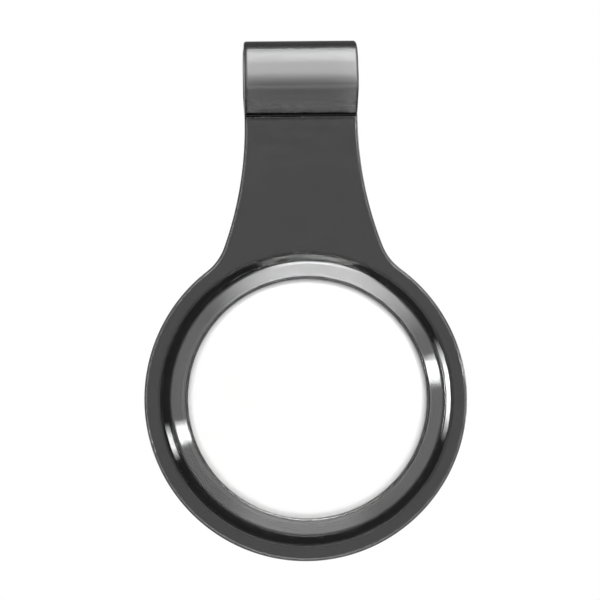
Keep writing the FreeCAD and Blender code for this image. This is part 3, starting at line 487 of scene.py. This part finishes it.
class Finish:
    """A node material in the making."""

    def __init__(self, name):
        self.material = bpy.data.materials.new(name)
        self.material.use_nodes = True
        self.tree = self.material.node_tree
        self.shader = self.tree.nodes["Principled BSDF"]

    def add(self, kind, settings=(), **inputs):
        """A new node of the material."""
        return add_node(self.tree, kind, settings, **inputs)

    def set(self, **values):
        """Give inputs of the shader one value all over."""
        for name, value in values.items():
            self.shader.inputs[name.replace("_", " ")].default_value = value

    def feed(self, **sources):
        """Link inputs of the shader to sockets."""
        for name, source in sources.items():
            self.tree.links.new(source, self.shader.inputs[name.replace("_", " ")])

    def place(self):
        """Places in the piece's own space."""
        return self.add("ShaderNodeTexCoord").outputs["Object"]

    def noise(self, scale, detail, place=None):
        """Noise over the piece's own places, or over others."""
        where = place or self.place()
        return self.add("ShaderNodeTexNoise", Vector=where, Scale=scale, Detail=detail).outputs["Fac"]

    def spread(self, source, low, high, shares=NOISE_SHARES):
        """Colours from low to high between two shares of a source."""
        node = self.add("ShaderNodeValToRGB", Fac=source)
        for stop, share, colour in zip(node.color_ramp.elements, shares, (low, high)):
            stop.position = share
            stop.color = colour
        return node.outputs["Color"]

    def banded(self, height, stops):
        """Greys that change with height; stops holds (height, level) from the lowest up."""
        low, high = stops[0][0], stops[-1][0]
        share = self.add("ShaderNodeMapRange", Value=height, From_Min=low, From_Max=high).outputs[0]
        node = self.add("ShaderNodeValToRGB", Fac=share)
        set_greys(node.color_ramp, [((place - low) / (high - low), level) for place, level in stops])
        return node.outputs["Color"]

    def relief(self, height, strength, distance, **base):
        """The normal of a surface raised by a height."""
        bump = self.add("ShaderNodeBump", Height=height, Strength=strength, Distance=distance, **base)
        return bump.outputs["Normal"]

    def from_axis(self):
        """The distance from the tag's axis."""
        axis, across = (0, 0, RING_HEIGHT), (1, 0, 1)
        away = self.add("ShaderNodeVectorMath", {"operation": "SUBTRACT"}, _0=self.place(), _1=axis)
        flat = self.add("ShaderNodeVectorMath", {"operation": "MULTIPLY"}, _0=away.outputs[0], _1=across)
        length = self.add("ShaderNodeVectorMath", {"operation": "LENGTH"}, _0=flat.outputs[0])
        return length.outputs["Value"]

    def sound_normal(self, radius):
        """The shading normal, and on the fan of faces at the axis the faces' own."""
        sides = self.add("ShaderNodeNewGeometry").outputs
        on_fan = self.add("ShaderNodeMath", {"operation": "LESS_THAN"}, _0=radius, _1=FAN_RADIUS).outputs[0]
        mixed = self.add(
            "ShaderNodeMix", {"data_type": "VECTOR"}, _0=on_fan, _4=sides["Normal"], _5=sides["True Normal"],
        )
        return mixed.outputs[1]


# Smoke-grey plastic: how it bends and absorbs light, its faint flow lines, its fine haze and the painted shade in
# its colour at the loop's crease
SMOKE_IOR = 1.5
SMOKE_DENSITY = 1000
FLOW_SCALE = 260
FLOW_DETAIL = 3
FLOW_TINT = (0.93, 0.93, 0.935, 1)
FLOW_STRENGTH = 0.06
FLOW_DEPTH = 0.0003
HAZE_SCALE = 900
HAZE_DETAIL = 4
HAZE_SHARES = (0.35, 0.75)
HAZE_ROUGHNESS = (0.02, 0.06)
# Roughness that handling adds to the loop, by height: full on its front, little on its top
WORN_FULL = 0.36
WORN_TOP = 0.1
WORN_FADE_BEGIN = 0.0022
WORN_FADE_END = 0.0032
LOOP_WEAR = ((CREASE[1], 0), (BELLY[1], WORN_FULL), (WORN_FADE_BEGIN, WORN_FULL), (WORN_FADE_END, WORN_TOP))
# Painted shade in the plastic's colour, by height: black as a painted shadow line in the crease and painted shade
# under the fold
SHADE_REACH = 0.006
SHADE_DEEP = 0.0006
SHADE_DEEP_LEVEL = 0.72
PAINTED_FOLD_SHADE = (
    (CREASE[1] - SHADE_REACH, 1),
    (CREASE[1] - SHADE_DEEP, SHADE_DEEP_LEVEL),
    (CREASE[1] - GROOVE_FALL, 0),
    (CREASE[1] + GROOVE_RISE, 0),
    (CREASE[1] + GROOVE_FALL, 1),
)


def smoke_tpu():
    """Glossy smoke-grey soft plastic: clear to the eye, and darker the deeper the light goes through it, with
    painted shade in its colour along the loop's crease and under the fold.
    """
    finish = Finish("smoke_tpu")
    finish.set(Transmission_Weight=1, IOR=SMOKE_IOR)
    flow = finish.noise(FLOW_SCALE, FLOW_DETAIL)
    height = finish.add("ShaderNodeSeparateXYZ", Vector=finish.place()).outputs["Z"]
    # The colour is the flow lines' faint random tone times painted shade: black in the crease, darker just under
    # the fold.
    clear, shade = finish.spread(flow, FLOW_TINT, grey(1)), finish.banded(height, PAINTED_FOLD_SHADE)
    product = {"data_type": "RGBA", "blend_type": "MULTIPLY"}
    flow_tint_and_painted_shade = finish.add("ShaderNodeMix", product, _0=1, _6=clear, _7=shade)
    haze = finish.spread(finish.noise(HAZE_SCALE, HAZE_DETAIL), *map(grey, HAZE_ROUGHNESS), HAZE_SHARES)
    worn = finish.banded(height, LOOP_WEAR)
    rough = finish.add("ShaderNodeMath", {"operation": "ADD"}, _0=haze, _1=worn)
    normal = finish.relief(flow, FLOW_STRENGTH, FLOW_DEPTH)
    finish.feed(Base_Color=flow_tint_and_painted_shade.outputs[2], Roughness=rough.outputs[0], Normal=normal)
    absorb = finish.add("ShaderNodeVolumeAbsorption", Color=(0, 0, 0, 1), Density=SMOKE_DENSITY)
    finish.tree.links.new(absorb.outputs["Volume"], finish.tree.nodes["Material Output"].inputs["Volume"])
    return finish.material


# White plastic: its faintly cloudy colour and its satin grain
WHITE = (0.95, 0.95, 0.945, 1)
WHITE_SHADE = (0.92, 0.92, 0.915, 1)
CLOUD_SCALE = 180
CLOUD_DETAIL = 2
SATIN_SCALE = 9000
SATIN_DETAIL = 3
SATIN_STRENGTH = 0.05
SATIN_DEPTH = 0.00002
# White pieces of the tag: finish, and roughness from the smoothest to the roughest
WHITES = {
    "tag_face_shell": ("white_shell", (0.28, 0.36)),
    "tag_rear_frame": ("white_frame", (0.45, 0.55)),
}


def white_plastic(name, roughness):
    """Moulded white plastic with a fine satin grain."""
    finish = Finish(name)
    cloud, satin = finish.noise(CLOUD_SCALE, CLOUD_DETAIL), finish.noise(SATIN_SCALE, SATIN_DETAIL)
    smooth = finish.sound_normal(finish.from_axis())
    finish.feed(
        Base_Color=finish.spread(cloud, WHITE_SHADE, WHITE),
        Roughness=finish.spread(satin, *map(grey, roughness)),
        Normal=finish.relief(satin, SATIN_STRENGTH, SATIN_DEPTH, Normal=smooth),
    )
    return finish.material


class Metal(NamedTuple):
    """A metal finished in fine rings round the tag's axis."""

    name: str
    pale: tuple
    dark: tuple
    roughness: tuple
    ring_scale: float
    ring_strength: float


METALS = {
    "tag_battery_cover": Metal(
        name="polished_steel", pale=(0.8, 0.8, 0.81, 1), dark=(0.66, 0.66, 0.67, 1),
        roughness=(0.14, 0.24), ring_scale=14000, ring_strength=0.2,
    ),
    "tag_coin_cell": Metal(
        name="cell_steel", pale=(0.7, 0.7, 0.69, 1), dark=(0.55, 0.55, 0.54, 1),
        roughness=(0.3, 0.4), ring_scale=9000, ring_strength=0.3,
    ),
    "tag_battery_contacts": Metal(
        name="plated_contact", pale=(0.86, 0.7, 0.38, 1), dark=(0.74, 0.58, 0.3, 1),
        roughness=(0.22, 0.34), ring_scale=6000, ring_strength=0.1,
    ),
    "tag_sounder_magnet": Metal(
        name="magnet", pale=(0.68, 0.68, 0.69, 1), dark=(0.55, 0.55, 0.56, 1),
        roughness=(0.2, 0.3), ring_scale=7000, ring_strength=0.2,
    ),
    "tag_voice_coil": Metal(
        name="copper_wire", pale=(0.75, 0.4, 0.22, 1), dark=(0.4, 0.18, 0.08, 1),
        roughness=(0.25, 0.4), ring_scale=9000, ring_strength=0.8,
    ),
}
# The rings have no depth inside the first radius and all of it outside the second
RING_FADE_BEGIN = 0.0004
RING_FADE_END = 0.003
RING_DETAIL = 2
RING_DEPTH = 0.00001
WEAR_SCALE = 400
WEAR_DETAIL = 4


def brushed_metal(metal):
    """Metal turned or brushed in fine rings."""
    finish = Finish(metal.name)
    finish.set(Metallic=1)
    radius = finish.from_axis()
    along = finish.add("ShaderNodeCombineXYZ", X=radius).outputs["Vector"]
    rings = finish.noise(metal.ring_scale, RING_DETAIL, along)
    strength = finish.add(
        "ShaderNodeMapRange", Value=radius, From_Min=RING_FADE_BEGIN, From_Max=RING_FADE_END,
        To_Max=metal.ring_strength,
    ).outputs[0]
    wear = finish.noise(WEAR_SCALE, WEAR_DETAIL)
    finish.feed(
        Base_Color=finish.spread(rings, metal.dark, metal.pale),
        Roughness=finish.spread(wear, *map(grey, metal.roughness)),
        Normal=finish.relief(rings, strength, RING_DEPTH, Normal=finish.sound_normal(radius)),
    )
    return finish.material


# Circuit board: copper areas that show faintly through the solder mask, and the mask's grain
AREA_SCALE = 700
AREA_SHARES = (0.25, 0.32)
MASK = (0.03, 0.12, 0.07, 1)
MASK_OVER_COPPER = (0.05, 0.2, 0.11, 1)
MASK_SCALE = 4000
MASK_DETAIL = 2
MASK_ROUGHNESS = (0.3, 0.45)
AREA_STRENGTH = 0.2
AREA_DEPTH = 0.00003


def circuit_board():
    """Dark green solder mask over faint copper areas."""
    finish = Finish("board")
    areas = finish.add("ShaderNodeTexVoronoi", Vector=finish.place(), Scale=AREA_SCALE).outputs["Distance"]
    finish.feed(
        Base_Color=finish.spread(areas, MASK, MASK_OVER_COPPER, AREA_SHARES),
        Roughness=finish.spread(finish.noise(MASK_SCALE, MASK_DETAIL), *map(grey, MASK_ROUGHNESS)),
        Normal=finish.relief(areas, AREA_STRENGTH, AREA_DEPTH),
    )
    return finish.material


def dress(node, material):
    """Give a CAD node its finish."""
    slots = frame["nodes"][node].material_slots
    slots[0].material = material


def make_object():
    """The moulding's skin and the finishes of the tag's CAD nodes."""
    skin = moulding()
    skin.data.materials.append(smoke_tpu())
    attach(skin, "holder")
    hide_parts("holder_body", "front_ring")
    for node, (name, roughness) in WHITES.items():
        dress(node, white_plastic(name, roughness))
    for node, metal in METALS.items():
        dress(node, brushed_metal(metal))
    dress("tag_circuit_board", circuit_board())


# Floor, far enough down to stay out of the photo's view; it glows as white as the backdrop
FLOOR_DROP = 1.0
FLOOR_SIZE = 3.0
FLOOR_GLOW = 1.0
FLOOR_GREYS = (0.88, 0.92)
FLOOR_SCALE = 8
FLOOR_DETAIL = 2
FLOOR_ROUGHNESS = 0.8


def floor_material():
    """Plain pale floor."""
    finish = Finish("pale_floor")
    finish.set(Roughness=FLOOR_ROUGHNESS, Emission_Color=grey(1), Emission_Strength=FLOOR_GLOW)
    finish.feed(Base_Color=finish.spread(finish.noise(FLOOR_SCALE, FLOOR_DETAIL), *map(grey, FLOOR_GREYS)))
    return finish.material


def make_floor():
    """A pale floor well below the hanging holder, left out of reflections."""
    bpy.ops.mesh.primitive_plane_add(size=FLOOR_SIZE, location=(0, 0, CAD_BOX[0][2] - FLOOR_DROP))
    floor = bpy.context.object
    floor.name = "floor"
    floor.data.materials.append(floor_material())
    floor.visible_glossy = False


# Camera, a little to the left of the ring's centre and below it, aimed at the middle of the photo
PHOTO_SIZE = 600
PIXELS_PER_METRE = 8065
SENSOR = 0.036
CAMERA_DISTANCE = 0.276
CAMERA_ACROSS = -0.0164
CAMERA_BELOW = 0.0043
CAMERA_ROLL = math.radians(-1.05)
AIM_ACROSS = -0.00051
AIM_ABOVE_RING = 0.0123
NEAREST_SEEN = 0.01


def looking(place, aim):
    """The matrix of a camera or light at a place, turned to an aim."""
    return Matrix.Translation(place) @ (aim - place).to_track_quat("-Z", "Y").to_matrix().to_4x4()


def make_camera():
    """Camera at the photo's place."""
    data = bpy.data.cameras.new("camera")
    data.sensor_width = SENSOR * MM_PER_METRE
    data.lens = data.sensor_width * CAMERA_DISTANCE * PIXELS_PER_METRE / PHOTO_SIZE
    data.clip_start = NEAREST_SEEN
    camera = bpy.data.objects.new("camera", data)
    bpy.context.scene.collection.objects.link(camera)
    place = Vector((CAMERA_ACROSS, -CAMERA_DISTANCE, RING_HEIGHT - CAMERA_BELOW))
    aim = Vector((AIM_ACROSS, 0, RING_HEIGHT + AIM_ABOVE_RING))
    camera.matrix_world = looking(place, aim) @ Matrix.Rotation(CAMERA_ROLL, 4, "Z")
    bpy.context.scene.camera = camera


class Softbox(NamedTuple):
    """An area light aimed at the ring's centre and placed from it; its level fades at its edges."""

    place: tuple
    width: float
    height: float
    level: float
    edge_share: float


# Softboxes that show as reflections: one overhead runs on into one in front, and small ones give highlights
GLOSS_BOXES = {
    "high": Softbox(place=(0.08, -0.162, 0.473), width=0.60, height=0.42, level=16.5, edge_share=0.38),
    "forward": Softbox(place=(0.07, -0.414, 0.347), width=0.80, height=0.65, level=10.5, edge_share=0.387),
    "low": Softbox(place=(0, -0.432, -0.252), width=0.50, height=0.46, level=2.2, edge_share=0.29),
    "under": Softbox(place=(0.02, -0.09, -0.50), width=0.50, height=0.20, level=1.6, edge_share=0.4),
    "left": Softbox(place=(-0.310, -0.383, -0.083), width=0.09, height=0.085, level=32, edge_share=0.45),
    "left_side": Softbox(place=(-0.474, 0.07, -0.145), width=0.06, height=0.16, level=16, edge_share=0.45),
    "right": Softbox(place=(0.355, -0.344, 0.075), width=0.16, height=0.10, level=32, edge_share=0.45),
    "right_side": Softbox(place=(0.487, 0.112, 0.03), width=0.12, height=0.38, level=20, edge_share=0.45),
}
# Softboxes that light the white plastic and the floor, and don't show as reflections
FILL_BOXES = {
    "fill_front": Softbox(place=(0.05, -0.62, 0.12), width=0.80, height=0.60, level=3.2, edge_share=0.1),
    "fill_left": Softbox(place=(-0.60, -0.10, 0.10), width=0.60, height=0.60, level=0.7, edge_share=0.1),
    "fill_right": Softbox(place=(0.60, -0.10, 0.20), width=0.60, height=0.60, level=0.8, edge_share=0.1),
    "fill_behind": Softbox(place=(0.10, 0.60, 0.20), width=0.60, height=0.60, level=3.6, edge_share=0.1),
}
# A light's own places run from 0 to 1, so this share is its middle
MIDDLE_SHARE = 0.5


def fade_edges(data, edge_share):
    """Let a light's level fall off smoothly towards its edges."""
    data.use_nodes = True
    tree = data.node_tree
    place = add_node(tree, "ShaderNodeNewGeometry").outputs["Parametric"]
    parts = add_node(tree, "ShaderNodeSeparateXYZ", Vector=place).outputs
    fades = []
    for axis in ("X", "Y"):
        fold = {"operation": "PINGPONG"}
        from_edge = add_node(tree, "ShaderNodeMath", fold, _0=parts[axis], _1=MIDDLE_SHARE).outputs[0]
        soft = {"interpolation_type": "SMOOTHSTEP"}
        fade = add_node(tree, "ShaderNodeMapRange", soft, Value=from_edge, From_Max=edge_share)
        fades.append(fade.outputs[0])
    level = add_node(tree, "ShaderNodeMath", {"operation": "MULTIPLY"}, _0=fades[0], _1=fades[1])
    tree.links.new(level.outputs[0], tree.nodes["Emission"].inputs["Strength"])


def make_softbox(name, box):
    """A softbox that neither the camera nor light through the plastic sees."""
    data = bpy.data.lights.new(name, "AREA")
    data.shape = "RECTANGLE"
    data.size, data.size_y = box.width, box.height
    data.energy = box.level * box.width * box.height * math.pi
    fade_edges(data, box.edge_share)
    light = bpy.data.objects.new(name, data)
    bpy.context.scene.collection.objects.link(light)
    ring = Vector((0, 0, RING_HEIGHT))
    light.matrix_world = looking(ring + Vector(box.place), ring)
    light.visible_camera = False
    light.visible_transmission = False
    return light


def make_lights():
    """The two sets of softboxes."""
    for name, box in GLOSS_BOXES.items():
        make_softbox(name, box).visible_diffuse = False
    for name, box in FILL_BOXES.items():
        make_softbox(name, box).visible_glossy = False


# Levels of the room in reflections, by the share of the way from the holder's front to its back
STUDIO_LEVELS = (
    (0.001, 0.5), (0.008, 0.5), (0.09, 3.1), (0.2, 3.1), (0.28, 1.4), (0.42, 0.9), (0.5, 0.25), (0.6, 0.2),
    (0.67, 0.14), (0.95, 0.22), (0.99, 1.0), (0.999, 1.0),
)
BACKDROP_LEVEL = 1
# Level of the backdrop for light that comes through the plastic
BACKDROP_THROUGH = 0.6


def make_studio():
    """A white backdrop, and a room for reflections that is dim behind the holder and round the camera."""
    world = bpy.data.worlds.new("studio")
    bpy.context.scene.world = world
    world.use_nodes = True
    world.cycles_visibility.diffuse = False
    tree = world.node_tree
    tree.nodes.clear()
    direction = add_node(tree, "ShaderNodeTexCoord").outputs["Generated"]
    depth = add_node(tree, "ShaderNodeSeparateXYZ", Vector=direction).outputs["Y"]
    share = add_node(tree, "ShaderNodeMapRange", Value=depth, From_Min=-1).outputs[0]
    level = add_node(tree, "ShaderNodeValToRGB", Fac=share)
    set_greys(level.color_ramp, STUDIO_LEVELS)
    path = add_node(tree, "ShaderNodeLightPath").outputs
    room, through, backdrop = (
        add_node(tree, "ShaderNodeBackground", Color=colour).outputs[0]
        for colour in (level.outputs["Color"], grey(BACKDROP_THROUGH), grey(BACKDROP_LEVEL))
    )
    seen, passed = path["Is Camera Ray"], path["Is Transmission Ray"]
    unseen = add_node(tree, "ShaderNodeMixShader", _0=passed, _1=room, _2=through).outputs[0]
    whole = add_node(tree, "ShaderNodeMixShader", _0=seen, _1=unseen, _2=backdrop).outputs[0]
    add_node(tree, "ShaderNodeOutputWorld", Surface=whole)


make_object()
make_floor()
make_camera()
make_lights()
make_studio()
bpy.context.scene.view_settings.view_transform = "Standard"
